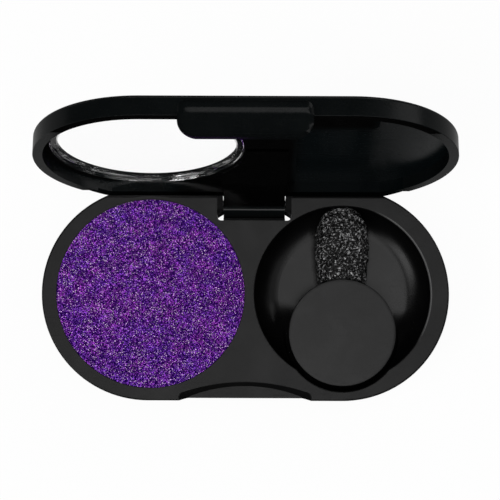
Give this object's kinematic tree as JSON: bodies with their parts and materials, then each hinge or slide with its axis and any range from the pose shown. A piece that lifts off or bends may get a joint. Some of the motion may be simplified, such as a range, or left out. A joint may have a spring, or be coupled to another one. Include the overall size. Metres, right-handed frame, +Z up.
{
  "type": "eyeshadow palette",
  "caption": "Stadium-shaped eyeshadow palette with a hinged windowed lid, a round powder pan and a bowl that holds a round-handled sponge applicator.",
  "frame": {"origin": "on the table under the middle of the base, on the underside", "axes": "+Z up, +X along the palette from the powder to the applicator, +Y from the thumb tab side to the hinge"},
  "size_m": [0.0572, 0.0393, 0.0347],
  "materials": {
    "tray_plastic": "satin black moulded plastic",
    "lid_plastic": "gloss black moulded plastic",
    "handle_plastic": "soft satin black moulded plastic",
    "window_plastic": "clear polished plastic",
    "powder": "pressed glitter powder, deep violet",
    "sponge": "black closed-cell foam",
    "pan_metal": "pressed sheet",
    "pin_steel": "drawn wire",
    "adhesive": "double-sided adhesive disc"
  },
  "bodies": {
    "base": {"base_tray": "tray_plastic", "base_bottom": "tray_plastic", "powder_pan": "pan_metal", "pan_adhesive": "adhesive", "pressed_powder": "powder", "hinge_pin": "pin_steel"},
    "lid": {"lid_shell": "lid_plastic", "lid_window": "window_plastic"},
    "applicator": {"applicator_handle": "handle_plastic", "sponge_tip": "sponge"}
  },
  "joints": [
    {"name": "lid_hinge", "type": "hinge", "parent": "base", "child": "lid", "pos_m": [0.0012, 0.0127, 0.0065], "axis": [1, 0, 0], "range_deg": [0, 105.3]},
    {"name": "applicator_lift", "type": "slide", "parent": "base", "child": "applicator", "axis": [0, 0, 1], "range_m": [0, 0.04]}
  ]
}
